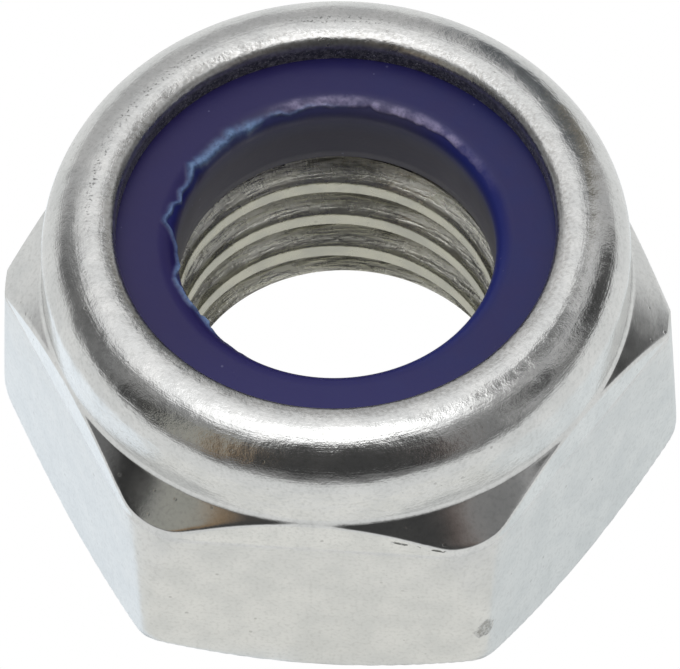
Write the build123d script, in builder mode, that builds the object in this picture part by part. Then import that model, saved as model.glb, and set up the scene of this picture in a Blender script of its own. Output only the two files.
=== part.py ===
from build123d import *
from math import acos, ceil, cos, degrees, radians, sin, sqrt, tan
import os

# Nylon insert lock nut, M10, made of two pieces: a steel body that is turned and rolled, and a
# nylon ring held in its collar. Millimetres. The origin is the centre of the bearing face, and +Z
# runs up the thread's axis towards the collar. One pair of flats faces -Y and +Y.

# Thread, right-hand: the bolt's outer diameter, its pitch and flank angle, how far the steel and the
# nylon reach inside its radius, and where one crest crosses the far wall of the bore
thread_size = 10.0
thread_pitch = 1.5
thread_angle = 60.0
thread_depth = 0.675
insert_bite = 0.54
crest_height = 3.575
crest_azimuth = 96.3

# The groove's section runs on this far inside the bore, so that its cut is clean at the crests
groove_lead = 0.2

# Chamfers of the bore, both at 45 degrees, as steps outside the bolt's radius
countersink_step = 0.4
entry_step = 0.125

# Hexagon: its height is taken at the foot of the collar
across_flats = 16.0
hex_height = 6.96
shoulder_slope = 46.0
bearing_step = 0.4
bearing_chamfer = 30.0

# The corners are cut back a little at the foot and more at the shoulder
corner_cut_foot = 0.05
corner_cut_top = 0.24

# The two corners beside the front flat are pressed flat in a narrow V, which starts at a tip near
# the foot and widens up to the shoulder, because its face leans inwards
facet_tip = 1.7
facet_lean = 6.5
facet_azimuths = (-120, -60)

# Collar: a wall rolled inwards at the top over the ring, whose upper corner it presses to a slope
collar_inset = 0.06
collar_height = 2.74
collar_wall = 0.8
rim_radius = 1.43
lip_reach = 0.59
lip_round = 0.12
foot_fillet = 0.3

# Nylon ring
insert_thickness = 2.5
insert_edge = 0.2

bolt_radius = thread_size / 2
bore_radius = bolt_radius - thread_depth
countersink_radius = bolt_radius + countersink_step
entry_radius = bolt_radius + entry_step
insert_bore_radius = bolt_radius - insert_bite

sharp_corner_radius = across_flats / sqrt(3)
corner_foot_radius = sharp_corner_radius - corner_cut_foot
corner_top_radius = sharp_corner_radius - corner_cut_top
bearing_radius = across_flats / 2 - bearing_step
collar_radius = across_flats / 2 - collar_inset

overall_height = hex_height + collar_height
rim_centre_radius = collar_radius - rim_radius
rim_centre_height = overall_height - rim_radius
lip_radius = rim_centre_radius - lip_reach
lip_angle = degrees(acos(-lip_reach / rim_radius))
lip_height = rim_centre_height + rim_radius * sin(radians(lip_angle))

pocket_radius = collar_radius - collar_wall
insert_top = overall_height - collar_wall
seat_height = insert_top - insert_thickness

# The groove has a flat root, an eighth of the pitch wide. Its first turn starts below the bearing
# face, where it crosses the XZ plane, and its last turn ends above the ring's seat.
root_half = thread_pitch / 16
mouth_half = root_half + (thread_depth + groove_lead) * tan(radians(thread_angle / 2))
groove_height = crest_height - thread_pitch * crest_azimuth / 360 - thread_pitch / 2
groove_start = groove_height % thread_pitch - thread_pitch
groove_turns = ceil((seat_height + mouth_half - groove_start) / thread_pitch)

# Corners of the steel's section, as radius and height
countersink_top = (bore_radius, countersink_radius - bore_radius)
countersink_edge = (countersink_radius, 0)
bearing_edge = (bearing_radius, 0)
corner_foot = (corner_foot_radius, (corner_foot_radius - bearing_radius) * tan(radians(bearing_chamfer)))
shoulder_drop = (corner_top_radius - collar_radius) * tan(radians(shoulder_slope))
corner_top = (corner_top_radius, hex_height - shoulder_drop)
collar_foot = (collar_radius, hex_height)
rim_start = (collar_radius, rim_centre_height)
rim_centre = (rim_centre_radius, rim_centre_height)
lip_edge = (lip_radius, lip_height)
lip_underside = (lip_radius, insert_top)
pocket_roof = (rim_centre_radius, insert_top)
pocket_shoulder = (pocket_radius, rim_centre_height)
pocket_floor = (pocket_radius, seat_height)
entry_edge = (entry_radius, seat_height)
entry_foot = (bore_radius, seat_height - (entry_radius - bore_radius))

# One turn of the thread's groove
with BuildPart() as groove_turn:
    with BuildLine() as thread_helix:
        Helix(thread_pitch, thread_pitch, bore_radius, center=(0, 0, groove_start))
    with BuildSketch(Plane.XZ):
        with BuildLine():
            Polyline((bore_radius - groove_lead, groove_start - mouth_half),
                     (bolt_radius, groove_start - root_half), (bolt_radius, groove_start + root_half),
                     (bore_radius - groove_lead, groove_start + mouth_half), close=True)
        make_face()
    sweep(path=thread_helix.line, is_frenet=True)

# Steel body: the whole section is turned, the flats are cut by the hexagon, and the thread is cut
# one turn above another
with BuildPart() as nut_body:
    with BuildSketch(Plane.XZ) as steel_section:
        with BuildLine():
            Polyline(countersink_top, countersink_edge, bearing_edge, corner_foot,
                     corner_top, collar_foot, rim_start)
            CenterArc(rim_centre, rim_radius, 0, lip_angle)
            Polyline(lip_edge, lip_underside, pocket_roof, pocket_shoulder,
                     pocket_floor, entry_edge, entry_foot, countersink_top)
        make_face()
        corners = steel_section.vertices()
        foot_corner = corners.sort_by_distance((*collar_foot, 0))[0]
        lip_corner = corners.sort_by_distance((*lip_edge, 0))[0]
        fillet(foot_corner, radius=foot_fillet)
        fillet(lip_corner, radius=lip_round)
    revolve(axis=Axis.Z)
    with BuildSketch():
        RegularPolygon(radius=across_flats / 2, side_count=6, major_radius=False)
    extrude(amount=overall_height, mode=Mode.INTERSECT)
    for azimuth in facet_azimuths:
        outwards = Vector(1, 0, 0).rotate(Axis.Z, azimuth)
        tip = outwards * sharp_corner_radius + Vector(0, 0, facet_tip)
        facing = outwards * cos(radians(facet_lean)) + Vector(0, 0, sin(radians(facet_lean)))
        split(bisect_by=Plane(origin=tip, z_dir=facing), keep=Keep.BOTTOM)
    for turn in range(groove_turns):
        with Locations((0, 0, turn * thread_pitch)):
            add(groove_turn.part, mode=Mode.SUBTRACT)

nut_body.part.label = "nut_body"

# Nylon ring: it fills the pocket from the seat up to the lip, with its lower edges broken
with BuildPart() as nylon_insert:
    with BuildSketch(Plane.XZ) as ring_section:
        with BuildLine():
            Polyline(pocket_roof, (insert_bore_radius, insert_top), (insert_bore_radius, seat_height),
                     pocket_floor, pocket_shoulder, close=True)
        make_face()
        chamfer(ring_section.vertices().group_by(Axis.Y)[0], length=insert_edge)
    revolve(axis=Axis.Z)

nylon_insert.part.label = "nylon_insert"

os.makedirs("parts", exist_ok=True)
export_step(nut_body.part, "parts/nut_body.step")
export_step(nylon_insert.part, "parts/nylon_insert.step")

print("overall height", round(overall_height, 3), "across corners", round(2 * corner_foot_radius, 3))
print("steel bore", round(bore_radius, 4), "from", round(countersink_top[1], 4), "to", round(entry_foot[1], 4))
print("insert bore", round(insert_bore_radius, 4), "from", seat_height + insert_edge, "to", insert_top)
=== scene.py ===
from math import acos, cos, pi, radians, sin, tan

import bpy
import numpy as np
from mathutils import Matrix, Vector


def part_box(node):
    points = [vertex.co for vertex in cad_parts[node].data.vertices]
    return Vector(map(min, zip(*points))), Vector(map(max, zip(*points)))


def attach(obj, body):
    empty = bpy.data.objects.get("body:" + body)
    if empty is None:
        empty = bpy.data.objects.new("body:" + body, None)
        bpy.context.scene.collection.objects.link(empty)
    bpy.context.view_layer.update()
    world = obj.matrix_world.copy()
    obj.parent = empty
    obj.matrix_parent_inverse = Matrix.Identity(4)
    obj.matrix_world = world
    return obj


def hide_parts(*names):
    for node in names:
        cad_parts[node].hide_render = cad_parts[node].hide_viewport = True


# A nylon insert lock nut on a pale floor. Sizes are in metres, and the nut stands in its CAD frame:
# bearing face down on the floor, thread along Z, one pair of flats facing -Y and +Y.
MM = 0.001
NO_SIZE = 1e-6
SHARP_EDGE = radians(48)

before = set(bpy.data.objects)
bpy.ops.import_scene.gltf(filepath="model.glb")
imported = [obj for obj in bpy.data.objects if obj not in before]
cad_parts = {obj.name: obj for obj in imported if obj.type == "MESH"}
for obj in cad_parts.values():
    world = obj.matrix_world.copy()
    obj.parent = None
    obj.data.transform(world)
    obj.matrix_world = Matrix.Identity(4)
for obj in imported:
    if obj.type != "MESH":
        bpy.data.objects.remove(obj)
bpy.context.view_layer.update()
steel_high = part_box("nut_body")[1]
ring_low, ring_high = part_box("nylon_insert")

# Hexagon and collar
FLATS_RADIUS = steel_high.y
CORNER_FOOT_RADIUS = steel_high.x
SHARP_CORNER_RADIUS = FLATS_RADIUS / cos(radians(30))
CORNER_TOP_RADIUS = SHARP_CORNER_RADIUS - 0.24 * MM
NUT_HEIGHT = steel_high.z
HEX_HEIGHT = 6.96 * MM
SHOULDER_SLOPE = radians(46)
BEARING_RADIUS = FLATS_RADIUS - 0.4 * MM
BEARING_CHAMFER = radians(30)
COLLAR_RADIUS = FLATS_RADIUS - 0.06 * MM
COLLAR_WALL = 0.8 * MM
FOOT_FILLET = 0.3 * MM
RIM_RADIUS = 1.43 * MM
LIP_REACH = 0.59 * MM
LIP_ROUND = 0.32 * MM

# The two front corners are pressed back in a narrow V that widens from its tip upwards
FACET_TIP = 1.7 * MM
FACET_LEAN = radians(5)
FACET_CROWN = 1.1
FACET_AZIMUTHS = (radians(-120), radians(-60))

# Bore and thread, with one crest placed by its height on the far wall and its azimuth in degrees
PITCH = 1.5 * MM
BOLT_RADIUS = 5 * MM
BORE_RADIUS = 4.325 * MM
ROOT_FLAT = PITCH / 8
THREAD_FLANK = radians(30)
CREST_ROUND = 0.2 * MM
COUNTERSINK_RADIUS = BOLT_RADIUS + 0.4 * MM
ENTRY_RADIUS = BOLT_RADIUS + 0.125 * MM
CREST_HEIGHT = 3.575 * MM
CREST_AZIMUTH = 96.3

# Nylon ring, with the round of its torn inner edge
RING_RADIUS = ring_high.x
RING_TOP = ring_high.z
RING_FOOT = ring_low.z
RING_BORE = BOLT_RADIUS - 0.7 * MM
RING_EDGE = 0.55 * MM

# The photograph looks down from the front, a little to the right of -Y
VIEW_AZIMUTH = radians(-83.7)
VIEW_ELEVATION = radians(55.38)
TOWARDS_CAMERA = Vector((cos(VIEW_AZIMUTH), sin(VIEW_AZIMUTH), 0))
TO_THE_RIGHT = Vector((-sin(VIEW_AZIMUTH), cos(VIEW_AZIMUTH), 0))


# Modelling helpers

def start_clean():
    """Leaves edit mode and deselects everything, because an operator acts on all that is selected."""
    if bpy.context.object and bpy.context.object.mode != "OBJECT":
        bpy.ops.object.mode_set(mode="OBJECT")
    bpy.ops.object.select_all(action="DESELECT")


def only(piece):
    """Makes one piece the selected and active one."""
    start_clean()
    piece.select_set(True)
    bpy.context.view_layer.objects.active = piece


def apply_modifier(piece, kind, **settings):
    """Adds a modifier with its settings and applies it."""
    only(piece)
    modifier = piece.modifiers.new(kind.title(), kind)
    for name, value in settings.items():
        setattr(modifier, name, value)
    bpy.ops.object.modifier_apply(modifier=modifier.name)


def stretch(start, end, steps):
    """Points in equal steps from start, which is left out, to end."""
    return [Vector(start).lerp(Vector(end), step / steps) for step in range(1, steps + 1)]


def arc(centre, radius, first, last, steps):
    """Points on an arc from the first angle to the last, in radians, both ends included."""
    angles = [first + (last - first) * step / steps for step in range(steps + 1)]
    return [Vector((centre[0] + radius * cos(a), centre[1] + radius * sin(a))) for a in angles]


def draw_outline(name, points):
    """Draws (radius, height) points as a chain of edges, by extruding one vertex from each to the next."""
    start_clean()
    places = [Vector((point[0], 0, point[1])) for point in points]
    bpy.ops.mesh.primitive_plane_add(size=NO_SIZE, location=places[0])
    piece = bpy.context.object
    piece.name = name
    bpy.ops.object.transform_apply(location=True)
    bpy.ops.object.mode_set(mode="EDIT")
    bpy.ops.mesh.select_all(action="SELECT")
    bpy.ops.mesh.merge(type="CENTER")
    for here, there in zip(places, places[1:]):
        bpy.ops.mesh.extrude_region_move(TRANSFORM_OT_translate={"value": there - here})
    bpy.ops.object.mode_set(mode="OBJECT")
    return piece


def turn_outline(name, points, steps):
    """Spins a closed outline about Z into a ring-shaped solid with its faces outwards."""
    piece = draw_outline(name, [*points, points[0]])
    bpy.ops.object.mode_set(mode="EDIT")
    bpy.ops.mesh.select_all(action="SELECT")
    bpy.ops.mesh.remove_doubles(threshold=NO_SIZE)
    bpy.ops.mesh.spin(steps=steps, angle=2 * pi, center=(0, 0, 0), axis=(0, 0, 1))
    bpy.ops.mesh.select_all(action="SELECT")
    bpy.ops.mesh.remove_doubles(threshold=NO_SIZE)
    bpy.ops.mesh.normals_make_consistent(inside=False)
    bpy.ops.object.mode_set(mode="OBJECT")
    return piece


def read_places(piece):
    """The vertices of a piece as an array of x, y and z."""
    places = np.zeros(len(piece.data.vertices) * 3)
    piece.data.vertices.foreach_get("co", places)
    return places.reshape(-1, 3)


def write_places(piece, places):
    """Moves the vertices of a piece to new places."""
    piece.data.vertices.foreach_set("co", places.ravel())
    piece.data.update()


def soft_min(first, second, blend):
    """The smaller of two lengths, with a round of about the blend where they are equal."""
    share = np.clip(0.5 + (second - first) / (2 * blend), 0, 1)
    return second + (first - second) * share - blend * share * (1 - share)


def soft_step(value, start, end):
    """A smooth change from 0 to 1 as the value goes from start to end."""
    share = np.clip((value - start) / (end - start), 0, 1)
    return share * share * (3 - 2 * share)


def ragged(azimuth, lumps, seed):
    """A random value from -1 to 1 that changes smoothly round the axis, with so many lumps in a turn."""
    knots = np.random.default_rng(seed).uniform(-1, 1, lumps)
    turn = azimuth / (2 * pi) % 1 * lumps
    first = np.floor(turn).astype(int)
    share = soft_step(turn - first, 0, 1)
    return knots[first % lumps] * (1 - share) + knots[(first + 1) % lumps] * share


# Steel body

def steel_outline():
    """The turned section of the body, from the bore's foot round the outside and back down the bore. A
    stretch has more steps where the flats will cut through it, so that their edges come out smooth."""
    entry_bulge = [(0.38, 0.53), (0.19, 0.40), (0.06, 0.21)]
    rim_centre = Vector((COLLAR_RADIUS - RIM_RADIUS, NUT_HEIGHT - RIM_RADIUS))
    lip_radius = rim_centre.x - LIP_REACH
    lip_turn = acos(-(LIP_REACH - LIP_ROUND) / (RIM_RADIUS - LIP_ROUND))
    lip_centre = rim_centre + (RIM_RADIUS - LIP_ROUND) * Vector((cos(lip_turn), sin(lip_turn)))
    pocket_radius = COLLAR_RADIUS - COLLAR_WALL
    chamfer_height = (CORNER_FOOT_RADIUS - BEARING_RADIUS) * tan(BEARING_CHAMFER)
    corner_foot = Vector((CORNER_FOOT_RADIUS, chamfer_height))
    shoulder_drop = (CORNER_TOP_RADIUS - COLLAR_RADIUS) * tan(SHOULDER_SLOPE)
    corner_top = Vector((CORNER_TOP_RADIUS, HEX_HEIGHT - shoulder_drop))
    fillet_reach = FOOT_FILLET * tan((pi / 2 - SHOULDER_SLOPE) / 2)
    fillet_centre = (COLLAR_RADIUS + FOOT_FILLET, HEX_HEIGHT + fillet_reach)
    fillet_start = pi + (pi / 2 - SHOULDER_SLOPE)
    fillet = arc(fillet_centre, FOOT_FILLET, fillet_start, pi, 6)
    countersink_top = Vector((BORE_RADIUS, COUNTERSINK_RADIUS - BORE_RADIUS))
    points = [countersink_top]
    points += stretch(countersink_top, (COUNTERSINK_RADIUS, 0), 3)
    points += stretch((COUNTERSINK_RADIUS, 0), (BEARING_RADIUS, 0), 3)
    points += stretch((BEARING_RADIUS, 0), corner_foot, 14)
    points += stretch(corner_foot, corner_top, 18)
    points += stretch(corner_top, fillet[0], 22)
    points += fillet[1:]
    points += stretch(fillet[-1], (COLLAR_RADIUS, rim_centre.y), 5)
    points += arc(rim_centre, RIM_RADIUS, 0, lip_turn, 24)[1:]
    points += arc(lip_centre, LIP_ROUND, lip_turn, pi, 8)[1:]
    points += stretch((lip_radius, lip_centre.y), (lip_radius, RING_TOP), 2)
    points += [Vector((rim_centre.x, RING_TOP)), Vector((pocket_radius, rim_centre.y))]
    points += [Vector((pocket_radius, RING_FOOT)), Vector((ENTRY_RADIUS, RING_FOOT))]
    entry_foot = Vector((BORE_RADIUS, RING_FOOT - (ENTRY_RADIUS - BORE_RADIUS)))
    points += [entry_foot + Vector(step) * MM for step in entry_bulge]
    points.append(entry_foot)
    return points


def press_flats(body):
    """Brings the turned body in to its six flats and two pressed corners. The round between two flats is
    narrow, and grows towards the foot. A pressed corner has softer edges, and reaches a few degrees."""
    narrow_round = 0.15 * MM
    foot_round = 0.4 * MM
    foot_reach = 1.5 * MM
    edge_round = FLATS_RADIUS - COLLAR_RADIUS
    facet_edge_round = 1.4 * edge_round
    facet_half = radians(9)
    places = read_places(body)
    radius = np.hypot(places[:, 0], places[:, 1])
    azimuth = np.arctan2(places[:, 1], places[:, 0])
    corner_round = narrow_round + foot_round * (1 - soft_step(places[:, 2], 0, foot_reach))
    limit = np.full(len(places), SHARP_CORNER_RADIUS)
    for flat in range(6):
        facing = np.cos(azimuth - radians(60 * flat + 30))
        limit = soft_min(limit, FLATS_RADIUS / np.maximum(facing, cos(pi / 3)), corner_round)
    for facet_azimuth in FACET_AZIMUTHS:
        turn = (azimuth - facet_azimuth + pi) % (2 * pi) - pi
        reach = SHARP_CORNER_RADIUS + (FACET_TIP - places[:, 2]) * tan(FACET_LEAN)
        crowned = reach * (1 - FACET_CROWN * turn * turn)
        pressed = soft_min(limit, crowned, facet_edge_round)
        limit = np.where(np.abs(turn) < facet_half, pressed, limit)
    pressed = soft_min(radius, limit, edge_round)
    places[:, :2] *= (pressed / radius)[:, None]
    write_places(body, places)


def make_tap():
    """A right-hand thread tap, screwed up from one pitch of its profile and cut off flat at both ends. It
    leaves rounded crests, and the flank that faces up swells a little, as if worn."""
    core_radius = BORE_RADIUS - 0.12 * MM
    tap_foot = -0.3 * MM
    tap_top = RING_FOOT + 0.1 * MM
    turns = 8
    steps_per_turn = 180
    start = CREST_HEIGHT - PITCH * CREST_AZIMUTH / 360 - turns / 2 * PITCH
    middle = start + PITCH / 2
    root_half = ROOT_FLAT / 2
    crest_half = root_half + (BOLT_RADIUS - BORE_RADIUS) * tan(THREAD_FLANK)
    round_half = crest_half + CREST_ROUND * tan((pi / 2 - THREAD_FLANK) / 2)
    crest_foot = Vector((core_radius, -round_half))
    crest_round = arc((BORE_RADIUS + CREST_ROUND, -round_half), CREST_ROUND, pi, pi / 2 + THREAD_FLANK, 4)
    root_edge = Vector((BOLT_RADIUS, -root_half))
    swelling = Vector((BORE_RADIUS + 0.3 * MM, -crest_half + 0.12 * MM))
    lower = [crest_foot, *crest_round[:3], swelling, root_edge]
    upper = [Vector((point.x, -point.y)) for point in (root_edge, *reversed(crest_round), crest_foot)]
    profile = [Vector((core_radius, -PITCH / 2)), *lower, *upper, Vector((core_radius, PITCH / 2))]
    tap = draw_outline("thread_tap", [point + Vector((0, middle)) for point in profile])
    apply_modifier(tap, "SCREW", axis="Z", angle=2 * pi, screw_offset=PITCH, iterations=turns,
                   steps=steps_per_turn, render_steps=steps_per_turn, use_merge_vertices=True,
                   merge_threshold=NO_SIZE)
    bpy.ops.object.mode_set(mode="EDIT")
    for height, below in ((tap_foot, True), (tap_top, False)):
        bpy.ops.mesh.select_all(action="SELECT")
        bpy.ops.mesh.bisect(plane_co=(0, 0, height), plane_no=(0, 0, 1), use_fill=True,
                            clear_inner=below, clear_outer=not below, threshold=NO_SIZE / 10)
    bpy.ops.mesh.select_all(action="SELECT")
    bpy.ops.mesh.normals_make_consistent(inside=False)
    bpy.ops.object.mode_set(mode="OBJECT")
    return tap


def make_body():
    """The steel body: turned, pressed to a hexagon, tapped and shaded."""
    steps = 720
    body = turn_outline("steel_body", steel_outline(), steps)
    press_flats(body)
    tap = make_tap()
    apply_modifier(body, "BOOLEAN", operation="DIFFERENCE", object=tap, solver="EXACT")
    bpy.data.objects.remove(tap)
    only(body)
    bpy.ops.object.shade_smooth_by_angle(angle=SHARP_EDGE)
    return body


# Nylon ring

def ring_outline():
    """The ring's section: a rounded inner edge at the top, and a plain back where the collar hides it. The
    round has many steps, because the burr is raised from them."""
    foot_edge = 0.2 * MM
    hidden_top = COLLAR_RADIUS - RIM_RADIUS
    edge_centre = (RING_BORE + RING_EDGE, RING_TOP - RING_EDGE)
    near_edge = 0.3 * MM
    points = [Vector((RING_BORE, RING_FOOT + foot_edge))]
    points += stretch(points[0], (RING_BORE, edge_centre[1] - near_edge), 5)
    points += stretch(points[-1], (RING_BORE, edge_centre[1]), 6)
    points += arc(edge_centre, RING_EDGE, pi, pi / 2, 26)[1:]
    points += stretch((edge_centre[0], RING_TOP), (edge_centre[0] + near_edge, RING_TOP), 8)
    points += stretch(points[-1], (hidden_top, RING_TOP), 5)
    sloped_corner = Vector((RING_RADIUS, RING_TOP - (RING_RADIUS - hidden_top)))
    points += [sloped_corner, Vector((RING_RADIUS, RING_FOOT + foot_edge))]
    points += [Vector((RING_RADIUS - foot_edge, RING_FOOT)), Vector((RING_BORE + foot_edge, RING_FOOT))]
    return points


def tear_edge(ring):
    """Raises the torn burr and the smear along the inner edge, and stores where they are for the material.
    The burr wanders as in the photo: by azimuth in degrees, how far up the edge's round it runs and how
    wide it is, in millimetres, and its share of the tallest lift."""
    burr_line = {85: 0.46, 107: 0.42, 125: 0.46, 144: 0.48, 153: 0.56, 158: 0.44, 167: 0.46, 175: 0.64,
                 178: 0.64, 181: 0.44, 185: 0.2, 190: 0.12, 201: 0.46, 210: 0.42, 215: 0.22, 221: 0.2,
                 232: 0.2}
    burr_height = {85: 0, 107: 0.4, 122: 0.7, 126: 1, 155: 1, 162: 0.7, 200: 0.7, 221: 0.8, 226: 0.35,
                   250: 0}
    burr_width = {115: 0.05, 128: 0.13, 150: 0.12, 160: 0.06}
    tallest = 0.12 * MM
    smear_lift = 0.035 * MM
    places = read_places(ring)
    radius = np.hypot(places[:, 0], places[:, 1])
    azimuth = np.arctan2(places[:, 1], places[:, 0]) % (2 * pi)
    turn = np.degrees(azimuth)
    inwards = RING_BORE + RING_EDGE - radius
    upwards = places[:, 2] - (RING_TOP - RING_EDGE)
    bend = np.clip(np.arctan2(upwards, inwards), 0, pi / 2)
    along = RING_EDGE * bend + np.minimum(upwards, 0) - np.minimum(inwards, 0)
    line = MM * np.interp(turn, list(burr_line), list(burr_line.values()))
    jags = 0.04 * ragged(azimuth, 64, 3) + 0.06 * ragged(azimuth, 110, 4) + 0.015 * ragged(azimuth, 260, 5)
    line += MM * jags
    width = MM * np.interp(turn, list(burr_width), list(burr_width.values()))
    lumps = 0.85 + 0.35 * ragged(azimuth, 150, 6) + 0.25 * ragged(azimuth, 70, 7)
    near = upwards > -0.5 * MM
    share = np.interp(turn, list(burr_height), list(burr_height.values())) * near
    bead = share * lumps * np.exp(-((along - line) / width) ** 2)
    flap = share * soft_step(along, line + width, line - width)
    flap *= soft_step(along, line - 0.5 * MM, line - 0.1 * MM)
    smear_share = soft_step(turn, 22, 60) * (1 - soft_step(turn, 108, 122))
    smear_edge = MM * (0.4 + 0.05 * ragged(azimuth, 60, 8) + 0.03 * ragged(azimuth, 160, 9))
    smear_top = MM * (0.78 + 0.05 * ragged(azimuth, 24, 10))
    smear = smear_share * soft_step(along, smear_edge, smear_edge + 0.06 * MM)
    smear *= 1 - soft_step(along, smear_top - 0.25 * MM, smear_top)
    patchy = 0.75 + 0.3 * ragged(azimuth, 110, 11) + 0.2 * ragged(azimuth, 40, 12)
    lift = tallest * (bead + 0.4 * flap) + smear_lift * smear * patchy
    places[:, :2] *= ((radius - lift * np.cos(bend)) / radius)[:, None]
    places[:, 2] += lift * np.sin(bend)
    write_places(ring, places)
    attribute = ring.data.attributes.new("burr", "FLOAT_VECTOR", "POINT")
    marks = np.stack([np.clip(bead, 0, 1), flap, np.clip(smear * patchy, 0, 1)], axis=1)
    attribute.data.foreach_set("vector", marks.ravel())


def make_ring():
    """The nylon ring: turned, torn along its inner edge and shaded."""
    steps = 960
    ring = turn_outline("nylon_ring", ring_outline(), steps)
    tear_edge(ring)
    only(ring)
    bpy.ops.object.shade_smooth_by_angle(angle=SHARP_EDGE)
    return ring


# Node helpers

def add_node(tree, kind, sockets=None, **settings):
    """Adds a node with its settings, and links or sets each named socket."""
    made = tree.nodes.new(kind)
    for name, value in settings.items():
        setattr(made, name, value)
    for name, value in (sockets or {}).items():
        if isinstance(value, bpy.types.NodeSocket):
            tree.links.new(value, made.inputs[name])
        else:
            made.inputs[name].default_value = value
    return made


def maths(tree, operation, first, second=0.0):
    """One step of arithmetic."""
    return add_node(tree, "ShaderNodeMath", {0: first, 1: second}, operation=operation).outputs[0]


def fade(tree, value, start, end, low=0.0, high=1.0):
    """A smooth change from low to high as the value goes from start to end, which may also fall."""
    ends = {"Value": value, "From Min": start, "From Max": end, "To Min": low, "To Max": high}
    return add_node(tree, "ShaderNodeMapRange", ends, interpolation_type="SMOOTHSTEP").outputs["Result"]


def product(tree, *values):
    """Several values multiplied."""
    result = values[0]
    for value in values[1:]:
        result = maths(tree, "MULTIPLY", result, value)
    return result


def total(tree, *values):
    """Several values added."""
    result = values[0]
    for value in values[1:]:
        result = maths(tree, "ADD", result, value)
    return result


def noise(tree, vector, scale, detail=2.0):
    """A soft random pattern from 0 to 1, with its scale in lumps per metre."""
    pattern = {"Vector": vector, "Scale": scale, "Detail": detail}
    return add_node(tree, "ShaderNodeTexNoise", pattern).outputs["Fac"]


def tint(tree, share, first, second):
    """A colour between two others. A plain grey may be given as one number."""
    ends = []
    for colour in (first, second):
        if isinstance(colour, (int, float)):
            colour = (colour, colour, colour)
        ends.append((*colour, 1) if isinstance(colour, tuple) else colour)
    mixed = add_node(tree, "ShaderNodeMix", {0: share, 6: ends[0], 7: ends[1]}, data_type="RGBA")
    return mixed.outputs[2]


def new_group(name, inputs, outputs):
    """An empty node group with its sockets, and what it is given."""
    group = bpy.data.node_groups.new(name, "ShaderNodeTree")
    for socket, kind in inputs.items():
        group.interface.new_socket(socket, in_out="INPUT", socket_type=kind)
    for socket, kind in outputs.items():
        group.interface.new_socket(socket, in_out="OUTPUT", socket_type=kind)
    return group, add_node(group, "NodeGroupInput").outputs


def turned_lines_group():
    """Fine lines round the nut's axis: their count round it, their number per metre across, and the slope
    that they are counted along, which is -1 where the surface falls outwards and 1 where it rises."""
    number = "NodeSocketFloat"
    inputs = {"Place": "NodeSocketVector", "Around": number, "Across": number, "Slope": number}
    group, given = new_group("turned_lines", inputs, {"Lines": number})
    parts = add_node(group, "ShaderNodeSeparateXYZ", {"Vector": given["Place"]}).outputs
    flat = add_node(group, "ShaderNodeCombineXYZ", {"X": parts["X"], "Y": parts["Y"]}).outputs[0]
    radius = add_node(group, "ShaderNodeVectorMath", {0: flat}, operation="LENGTH").outputs["Value"]
    facing = add_node(group, "ShaderNodeVectorMath", {0: flat}, operation="NORMALIZE").outputs[0]
    lumps = {0: facing, "Scale": given["Around"]}
    around = add_node(group, "ShaderNodeVectorMath", lumps, operation="SCALE").outputs[0]
    rise = total(group, parts["Z"], product(group, radius, given["Slope"]))
    across = add_node(group, "ShaderNodeCombineXYZ", {"Z": product(group, rise, given["Across"])}).outputs[0]
    place = add_node(group, "ShaderNodeVectorMath", {0: around, 1: across}, operation="ADD").outputs[0]
    add_node(group, "NodeGroupOutput", {"Lines": noise(group, place, 1)})
    return group


def turned_lines(tree, group, place, around, across, slope):
    """The lines that the group above draws."""
    given = {"Place": place, "Around": around, "Across": across, "Slope": slope}
    return add_node(tree, "ShaderNodeGroup", given, node_tree=group).outputs["Lines"]


def specks_group():
    """Small scattered spots of uneven size, as a mask."""
    number = "NodeSocketFloat"
    group, given = new_group("specks", {"Place": "NodeSocketVector", "Per metre": number, "Share": number},
                             {"Mask": number})
    cells = add_node(group, "ShaderNodeTexVoronoi", {"Vector": given["Place"], "Scale": given["Per metre"]})
    chosen = add_node(group, "ShaderNodeSeparateColor", {"Color": cells.outputs["Color"]}).outputs[0]
    size = fade(group, chosen, given["Share"], 0, 0, 0.45)
    near = maths(group, "SUBTRACT", size, cells.outputs["Distance"])
    add_node(group, "NodeGroupOutput", {"Mask": fade(group, near, 0, 0.15)})
    return group


def specks(tree, group, place, per_metre, share):
    """The spots that the group above draws."""
    given = {"Place": place, "Per metre": per_metre, "Share": share}
    return add_node(tree, "ShaderNodeGroup", given, node_tree=group).outputs["Mask"]


def flaws(tree, place, spots):
    """A mask of ragged marks, each given as x, y, z and its reach in millimetres."""
    rough = noise(tree, place, 7000, 3)
    mask = 0.0
    for *centre, reach in spots:
        ends = {0: place, 1: Vector(centre) * MM}
        distance = add_node(tree, "ShaderNodeVectorMath", ends, operation="DISTANCE").outputs["Value"]
        wander = {0: rough, 1: reach * MM, 2: -0.5 * reach * MM}
        uneven = add_node(tree, "ShaderNodeMath", wander, operation="MULTIPLY_ADD").outputs[0]
        away = total(tree, distance, uneven)
        mask = maths(tree, "MAXIMUM", mask, fade(tree, away, reach * MM, 0.6 * reach * MM))
    return mask


def new_material(name):
    """A material with its tree, its Principled shader, and the nut's own coordinates."""
    material = bpy.data.materials.new(name)
    material.use_nodes = True
    tree = material.node_tree
    place = add_node(tree, "ShaderNodeTexCoord").outputs["Object"]
    parts = add_node(tree, "ShaderNodeSeparateXYZ", {"Vector": place}).outputs
    flat = add_node(tree, "ShaderNodeCombineXYZ", {"X": parts["X"], "Y": parts["Y"]}).outputs[0]
    radius = add_node(tree, "ShaderNodeVectorMath", {0: flat}, operation="LENGTH").outputs["Value"]
    return material, tree, tree.nodes["Principled BSDF"], place, radius, parts


def set_bump(tree, shader, height):
    """Raises the surface by a height in micrometres."""
    bump = add_node(tree, "ShaderNodeBump", {"Height": height, "Strength": 1.0, "Distance": 1e-6})
    tree.links.new(bump.outputs["Normal"], shader.inputs["Normal"])


# Materials

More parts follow.
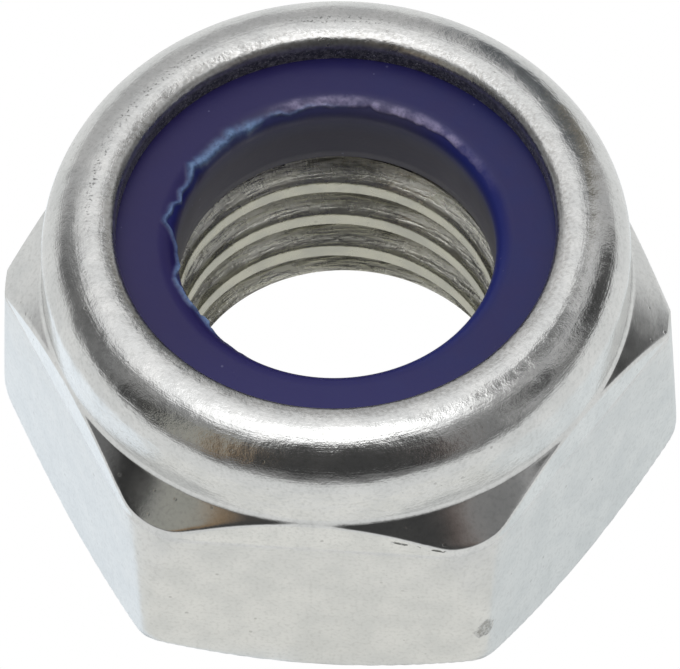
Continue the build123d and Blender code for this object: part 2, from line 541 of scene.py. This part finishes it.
def steel_material(line_group, speck_group):
    """Bright zinc plate: finely pitted, with turned lines on the collar and a torn thread, and with painted
    shade and painted highlights in the bore and on the lip.
    """
    material, tree, shader, place, radius, parts = new_material("zinc_plate")
    height = parts["Z"]

    # Where each finish lies, and where shade is painted, by radius and height
    in_bore = fade(tree, radius, 5.3 * MM, 5.15 * MM)
    on_flank = product(tree, in_bore, fade(tree, radius, 4.36 * MM, 4.46 * MM))
    # Painted shade: the thread's roots are darkened deep in the bore
    root_shade = product(tree, in_bore, fade(tree, radius, 4.62 * MM, 4.95 * MM),
                      fade(tree, height, 6.3 * MM, 5.6 * MM))
    entry = product(tree, in_bore, fade(tree, height, 5.45 * MM, 5.65 * MM))
    # Painted shade: the top of the entry, under the ring, is made nearly black
    shade_below_ring = product(tree, entry, fade(tree, height, 5.95 * MM, 6.06 * MM))
    on_collar = fade(tree, height, 6.9 * MM, 7.1 * MM)
    on_shoulder = product(tree, fade(tree, radius, 7.9 * MM, 8.05 * MM),
                          fade(tree, height, 5.6 * MM, 5.9 * MM))
    on_rim = fade(tree, height, 8.8 * MM, 8.9 * MM)
    on_lip = product(tree, fade(tree, radius, 6.55 * MM, 6.1 * MM), on_rim)
    lip_face = product(tree, fade(tree, height, 9.5 * MM, 9.25 * MM), on_rim,
                       fade(tree, radius, 6.3 * MM, 6.2 * MM))
    ridge = product(tree, fade(tree, radius, 6.5 * MM, 6.65 * MM), fade(tree, radius, 6.85 * MM, 6.7 * MM),
                    on_rim)

    # Patterns all over the steel
    lines = turned_lines(tree, line_group, place, 6.0, 14000.0, -1.0)
    tears = turned_lines(tree, line_group, place, 7.0, 8500.0, 1.0)
    marks = turned_lines(tree, line_group, place, 110.0, 500.0, 1.0)
    pits = specks(tree, speck_group, place, 7000.0, 0.04)
    wobble = noise(tree, place, 1400, 1)
    grain = noise(tree, place, 9000, 4)
    fine = noise(tree, place, 26000, 1)
    clouds = noise(tree, place, 1100, 4)
    patches = noise(tree, place, 600, 2)
    cloudy = fade(tree, clouds, 0.3, 0.7)

    # Damage: flanks torn by the tap, their streaks laid near white as a painted highlight, dots of painted
    # highlight on the lip, its worn ridge, a nicked edge and a dented corner
    # The torn streaks on the flanks: real tears, laid near white as a painted highlight
    torn_glint_streaks = product(tree, on_flank, fade(tree, tears, 0.38, 0.56),
                         fade(tree, patches, 0.3, 0.65, 0.5, 1.0), fade(tree, height, 6.06 * MM, 5.95 * MM))
    # Dots of painted highlight on the lip's inner face
    lip_glint_dots = product(tree, lip_face, fade(tree, fine, 0.64, 0.7))
    worn_ridge = product(tree, ridge, fade(tree, noise(tree, place, 13000, 3), 0.56, 0.66),
                         fade(tree, patches, 0.35, 0.55), fade(tree, parts["X"], 2 * MM, -1 * MM),
                         fade(tree, parts["Y"], -2 * MM, 1 * MM))
    above_line = total(tree, height, product(tree, parts["X"], 0.24), -6.88 * MM)
    nick = product(tree, fade(tree, maths(tree, "ABSOLUTE", above_line), 0.05 * MM, 0.02 * MM),
                   fade(tree, noise(tree, place, 4200), 0.5, 0.56),
                   fade(tree, parts["X"], 2.1 * MM, 2.3 * MM), fade(tree, parts["X"], 3.7 * MM, 3.5 * MM),
                   fade(tree, parts["Y"], -7.8 * MM, -7.9 * MM))
    tip_dent = flaws(tree, place, [(4.55, -7.9, 2.2, 0.26), (4.75, -7.82, 2.3, 0.24),
                                   (4.65, -7.86, 2.45, 0.24)])

    # Heights in micrometres
    grain_height = total(tree, 6.0, product(tree, in_bore, 8.0), product(tree, on_lip, 7.0))
    line_height = total(tree, 1.5, product(tree, on_collar, 2.5))
    calm = fade(tree, on_shoulder, 0, 1, 1, 0.12)
    relief = total(tree, product(tree, wobble, calm, 30.0), product(tree, grain, calm, grain_height),
                   product(tree, lines, calm, line_height), product(tree, fine, calm, 3.5),
                   product(tree, tears, in_bore, 6.0), product(tree, tears, on_flank, 24.0),
                   product(tree, marks, entry, 18.0), product(tree, pits, -3.0),
                   product(tree, worn_ridge, -8.0), product(tree, nick, -20.0),
                   product(tree, tip_dent, fade(tree, grain, 0.3, 0.7, -12.0, -45.0)))
    set_bump(tree, shader, relief)

    # Colours, each laid over the ones before
    zinc = tint(tree, cloudy, (0.62, 0.625, 0.62), (0.70, 0.70, 0.69))
    zinc = tint(tree, product(tree, fade(tree, grain, 0.55, 0.3), 0.22), zinc, (0.35, 0.35, 0.34))
    zinc = tint(tree, in_bore, zinc, tint(tree, cloudy, (0.60, 0.60, 0.54), (0.74, 0.73, 0.63)))
    # Painted shade in the thread's roots
    zinc = tint(tree, product(tree, root_shade, 0.8), zinc, (0.17, 0.165, 0.125))
    # Painted highlight: the torn streaks are laid near white
    zinc = tint(tree, torn_glint_streaks, zinc, (0.97, 0.96, 0.88))
    # Painted shade under the ring
    zinc = tint(tree, product(tree, shade_below_ring, 0.9), zinc, (0.05, 0.045, 0.04))
    # The lip is darker in grainy patches
    lip_darkening = product(tree, on_lip, fade(tree, grain, 0.7, 0.3, 0.0, 0.4))
    zinc = tint(tree, lip_darkening, zinc, (0.33, 0.31, 0.285))
    # Painted shade: the lip's inner face is made nearly black in grains
    lip_face_shade = product(tree, lip_face, fade(tree, grain, 0.7, 0.4, 0.6, 0.95))
    zinc = tint(tree, lip_face_shade, zinc, (0.075, 0.078, 0.09))
    # Painted highlight: pale dots on the lip's inner face
    zinc = tint(tree, lip_glint_dots, zinc, 0.80)
    zinc = tint(tree, product(tree, pits, fade(tree, clouds, 0.35, 0.65), 0.4), zinc, (0.24, 0.23, 0.21))
    zinc = tint(tree, product(tree, worn_ridge, 0.85), zinc, 0.10)
    dent_grime = product(tree, tip_dent, fade(tree, grain, 0.6, 0.4, 0.1, 0.6))
    zinc = tint(tree, dent_grime, zinc, (0.26, 0.25, 0.23))
    zinc = tint(tree, product(tree, nick, 0.8), zinc, (0.06, 0.06, 0.05))
    tree.links.new(zinc, shader.inputs["Base Color"])

    dullness = total(tree, 0.3, product(tree, on_collar, -0.14), product(tree, on_shoulder, -0.16),
                     product(tree, in_bore, -0.06), product(tree, on_lip, 0.1), product(tree, cloudy, 0.05))
    tree.links.new(dullness, shader.inputs["Roughness"])
    # The painted highlights on the torn streaks and the lip, and the painted shade on the lip's inner face,
    # are laid on as a partly dull, less metallic colour
    nonmetal_share = total(tree, product(tree, torn_glint_streaks, 0.45), product(tree, lip_face, 0.8))
    tree.links.new(maths(tree, "SUBTRACT", 1.0, nonmetal_share), shader.inputs["Metallic"])
    return material


def nylon_material(line_group, speck_group):
    """Dark violet blue nylon, bluer to the right, with a pale torn burr and a smear at the back. Painted
    light makes the front lighter and puts highlights on the smear and on the back of the edge's round.
    """
    material, tree, shader, place, radius, parts = new_material("blue_nylon")
    x, y, height = parts["X"], parts["Y"], parts["Z"]
    burr = add_node(tree, "ShaderNodeAttribute", attribute_name="burr").outputs["Vector"]
    torn = add_node(tree, "ShaderNodeSeparateXYZ", {"Vector": burr}).outputs
    bead, flap, smear = torn["X"], torn["Y"], torn["Z"]

    # Patterns, and where the colour differs: the round of the edge at the right, the round at the back,
    # which gets a painted highlight, the wall of the bore, and the face inside the lip, whose relief differs
    lines = turned_lines(tree, line_group, place, 10.0, 6000.0, -1.0)
    dust = specks(tree, speck_group, place, 9000.0, 0.012)
    swirl = noise(tree, place, 1200, 3)
    grain = noise(tree, place, 12000, 2)
    bend = product(tree, fade(tree, radius, 4.8 * MM, 4.4 * MM), fade(tree, height, 8.1 * MM, 8.5 * MM))
    right_bend = product(tree, bend, fade(tree, x, 1 * MM, 3.6 * MM))
    back_edge_highlight = product(tree, bend, fade(tree, y, 1.5 * MM, 3.5 * MM), fade(tree, x, 3 * MM, 1 * MM))
    on_wall = product(tree, fade(tree, radius, 4.5 * MM, 4.4 * MM), fade(tree, height, 8.4 * MM, 8.1 * MM))
    open_face = fade(tree, radius, 5.6 * MM, 5.3 * MM, 0.1, 1.0)

    # Colours, each laid over the ones before
    nylon = tint(tree, fade(tree, x, -6 * MM, 6 * MM), (0.024, 0.015, 0.125), (0.013, 0.017, 0.15))
    nylon = tint(tree, fade(tree, swirl, 0.3, 0.7, 0, 0.6), nylon, (0.024, 0.018, 0.135))
    # Painted light: the front of the ring's top is made lighter
    nylon = tint(tree, fade(tree, y, -3 * MM, -6 * MM, 0, 0.7), nylon, (0.03, 0.027, 0.185))
    wall = tint(tree, fade(tree, height, 7.6 * MM, 8.3 * MM), (0.052, 0.048, 0.082), (0.055, 0.06, 0.14))
    nylon = tint(tree, product(tree, on_wall, 0.75), nylon, wall)
    nylon = tint(tree, product(tree, right_bend, 0.6), nylon, (0.028, 0.045, 0.30))
    # Painted highlight on the round of the edge at the back
    nylon = tint(tree, product(tree, back_edge_highlight, 0.8), nylon, (0.085, 0.085, 0.18))
    nylon = tint(tree, product(tree, flap, 0.5), nylon, (0.015, 0.04, 0.30))
    # Painted highlight: the raised smear is laid pale lilac in streaks
    smear_highlight = product(tree, smear, fade(tree, lines, 0.35, 0.6, 0.3, 1.0),
                       fade(tree, grain, 0.3, 0.6, 0.6, 1.0))
    nylon = tint(tree, smear_highlight, nylon, (0.50, 0.45, 0.72))
    nylon = tint(tree, product(tree, bead, fade(tree, grain, 0.2, 0.6, 0.5, 1.0)), nylon, (0.24, 0.38, 0.66))
    nylon = tint(tree, product(tree, dust, 0.4), nylon, (0.25, 0.25, 0.45))
    tree.links.new(nylon, shader.inputs["Base Color"])

    dullness = total(tree, 0.36, product(tree, swirl, 0.1), product(tree, bead, 0.15))
    tree.links.new(dullness, shader.inputs["Roughness"])
    shader.inputs["Specular IOR Level"].default_value = 0.4

    # Heights in micrometres
    relief = total(tree, product(tree, lines, 2.0), product(tree, grain, open_face, 3.0),
                   product(tree, swirl, 12.0), product(tree, grain, bead, 25.0),
                   product(tree, lines, smear, 12.0))
    set_bump(tree, shader, relief)
    return material


# Studio

def floor_material():
    """A white sheet that glows, a little unevenly, with a painted shadow under the nut where it glows less.
    It ends in front of the nut, which mirrors a dim room beyond. The camera itself sees plain white."""
    material, tree, shader, place, radius, parts = new_material("pale_floor")
    sheet_fade, sheet_end = 24 * MM, 41 * MM
    ends = {0: place, 1: TOWARDS_CAMERA}
    forwards = add_node(tree, "ShaderNodeVectorMath", ends, operation="DOT_PRODUCT").outputs["Value"]
    on_sheet = fade(tree, forwards, sheet_end, sheet_fade)
    beside = fade(tree, parts["Y"], -8.6 * MM, -7.6 * MM)
    close = fade(tree, radius, 14 * MM, 12.5 * MM)
    left = product(tree, beside, close, fade(tree, parts["X"], 0, -1 * MM))
    right = product(tree, beside, close, fade(tree, parts["X"], 0, 1 * MM))
    before = product(tree, fade(tree, parts["Y"], -7.6 * MM, -8.6 * MM), close)
    sheet = tint(tree, right, (0.745, 0.755, 0.75), (0.73, 0.775, 0.79))
    sheet = tint(tree, before, sheet, (0.82, 0.82, 0.78))
    sheet = tint(tree, left, sheet, (0.91, 0.98, 1.04))
    # Painted shadow: the glow is dimmed under the nut
    sheet = tint(tree, fade(tree, radius, 5.5 * MM, 5.1 * MM), sheet, (0.50, 0.50, 0.48))
    tree.links.new(tint(tree, on_sheet, 0.05, sheet), shader.inputs["Emission Color"])
    shader.inputs["Emission Strength"].default_value = 1
    shader.inputs["Base Color"].default_value = (0.25, 0.25, 0.25, 1)
    shader.inputs["Roughness"].default_value = 1
    shader.inputs["Specular IOR Level"].default_value = 0
    white = add_node(tree, "ShaderNodeEmission", {"Color": (1, 1, 1, 1)})
    seen = add_node(tree, "ShaderNodeLightPath").outputs["Is Camera Ray"]
    mixed = add_node(tree, "ShaderNodeMixShader", {0: seen, 1: shader.outputs[0], 2: white.outputs[0]})
    tree.links.new(mixed.outputs[0], tree.nodes["Material Output"].inputs["Surface"])
    return material


def make_floor():
    """The floor, which isn't part of the nut."""
    width = 6
    start_clean()
    bpy.ops.mesh.primitive_plane_add(size=width)
    floor = bpy.context.object
    floor.name = "floor"
    floor.data.materials.append(floor_material())


def hang_panel(tree, light, level, elevation, turn, half_width, low, high, edge, colour):
    """Adds a soft-edged panel or gap to the tent. Its place is in degrees: its turn from the far side to
    the right, half of its width, its lowest and highest elevation, and how soft its edges are."""
    towards = -cos(radians(turn)) * TOWARDS_CAMERA + sin(radians(turn)) * TO_THE_RIGHT
    ends = {0: level, 1: towards}
    facing = add_node(tree, "ShaderNodeVectorMath", ends, operation="DOT_PRODUCT").outputs["Value"]
    across = fade(tree, facing, cos(radians(half_width + edge)), cos(radians(max(half_width - edge, 0))))
    above = fade(tree, elevation, radians(low - edge), radians(low + edge))
    below = fade(tree, elevation, radians(high + edge), radians(high - edge))
    return tint(tree, product(tree, across, above, below), light, colour)


def light_studio():
    """A light tent that only the nut mirrors: a soft box overhead, a pale backdrop, and a dim side with
    gaps towards the camera. The camera itself sees plain white."""
    backdrop = 0.56
    bright = 1.15
    overhead = 2.7
    side_box = 1.75
    gap = 0.062
    # Brownish panels in the tent, which the steel mirrors as brown patches
    left_brown_panel = (0.31, 0.21, 0.12)
    right_brown_panel = (0.20, 0.12, 0.09)
    world = bpy.data.worlds.new("light_tent")
    bpy.context.scene.world = world
    world.use_nodes = True
    tree = world.node_tree
    direction = add_node(tree, "ShaderNodeTexCoord").outputs["Generated"]
    parts = add_node(tree, "ShaderNodeSeparateXYZ", {"Vector": direction}).outputs
    flat = add_node(tree, "ShaderNodeCombineXYZ", {"X": parts["X"], "Y": parts["Y"]}).outputs[0]
    level = add_node(tree, "ShaderNodeVectorMath", {0: flat}, operation="NORMALIZE").outputs[0]
    elevation = maths(tree, "ARCSINE", parts["Z"])
    light = tint(tree, fade(tree, elevation, radians(28), radians(66)), backdrop, bright)
    light = tint(tree, fade(tree, elevation, radians(67), radians(87)), light, overhead)
    left_side = [(-112, 42, 67, 100, 7, side_box), (-115, 32, 44, 60, 6, 0.32),
                 (-130, 9, -12, 48, 3, (0.40, 0.40, 0.36)), (-109, 10, -8, 44, 3, 0.12),
                 (-112, 7, -8, 31, 2, 0.03), (-90, 12, 2, 44, 5, 0.19), (-66, 13, 10, 46, 5, 0.16),
                 (-50, 6, 17, 42, 4, 0.30), (-97, 5, 24, 38, 4, 0.36), (-142, 4, -15, 45, 3, left_brown_panel)]
    right_side = [(104, 40, 45, 61, 6, 0.38), (24, 10, 3, 47, 4, (0.13, 0.14, 0.15)),
                  (35, 4, 4, 46, 3, (0.22, 0.20, 0.16)), (73, 14, 2, 37, 3, 0.07),
                  (104, 5, -6, 22, 4, 0.30), (92, 6, 4, 16, 3, 0.10), (108, 8, 17, 46, 3, 0.085),
                  (131, 10, -8, 48, 4, 0.26), (147, 4, -12, 45, 3, right_brown_panel), (55, 26, 53, 73, 7, 0.16)]
    camera_side = [(180, 35, -90, 73, 4, gap)]
    for panel in left_side + right_side + camera_side:
        light = hang_panel(tree, light, level, elevation, *panel)
    room = tree.nodes["Background"]
    tree.links.new(light, room.inputs["Color"])
    pale = add_node(tree, "ShaderNodeBackground", {"Color": (1, 1, 1, 1)})
    seen = add_node(tree, "ShaderNodeLightPath").outputs["Is Camera Ray"]
    mixed = add_node(tree, "ShaderNodeMixShader", {0: seen, 1: room.outputs[0], 2: pale.outputs[0]})
    tree.links.new(mixed.outputs[0], tree.nodes["World Output"].inputs["Surface"])


def place_camera():
    """A long lens at the photo's angle, turned a little about its own axis. Its roll, its distance and the
    pixels to a metre were fitted to the nut's edges in the photo, and it aims a few pixels off the axis."""
    roll = 0.0275
    distance = 0.5536
    sensor_width = 36
    pixels_across, pixels_per_metre = 680, 37000
    aim_right, aim_down = 1.9 / pixels_per_metre, 9.76 / pixels_per_metre
    target = Vector((0, 0, 4.8 * MM))
    towards = cos(VIEW_ELEVATION) * TOWARDS_CAMERA + Vector((0, 0, sin(VIEW_ELEVATION)))
    level_down = TO_THE_RIGHT.cross(towards)
    right = cos(roll) * TO_THE_RIGHT + sin(roll) * level_down
    down = cos(roll) * level_down - sin(roll) * TO_THE_RIGHT
    lens = bpy.data.cameras.new("camera")
    lens.sensor_width = sensor_width
    lens.lens = pixels_per_metre * distance * sensor_width / pixels_across
    camera = bpy.data.objects.new("camera", lens)
    bpy.context.scene.collection.objects.link(camera)
    place = target + right * aim_right + down * aim_down + towards * distance
    turn = Matrix((right, -down, towards)).transposed().to_4x4()
    camera.matrix_world = Matrix.Translation(place) @ turn
    bpy.context.scene.camera = camera


def dress(piece, material, node):
    """Gives a finished piece its material, hangs it on the root body, and hides the CAD part that it stands
    for.
    """
    piece.data.materials.clear()
    piece.data.materials.append(material)
    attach(piece, "root")
    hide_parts(node)


bpy.context.scene.view_settings.view_transform = "Standard"
groups = (turned_lines_group(), specks_group())
dress(make_body(), steel_material(*groups), "nut_body")
dress(make_ring(), nylon_material(*groups), "nylon_insert")
make_floor()
light_studio()
place_camera()
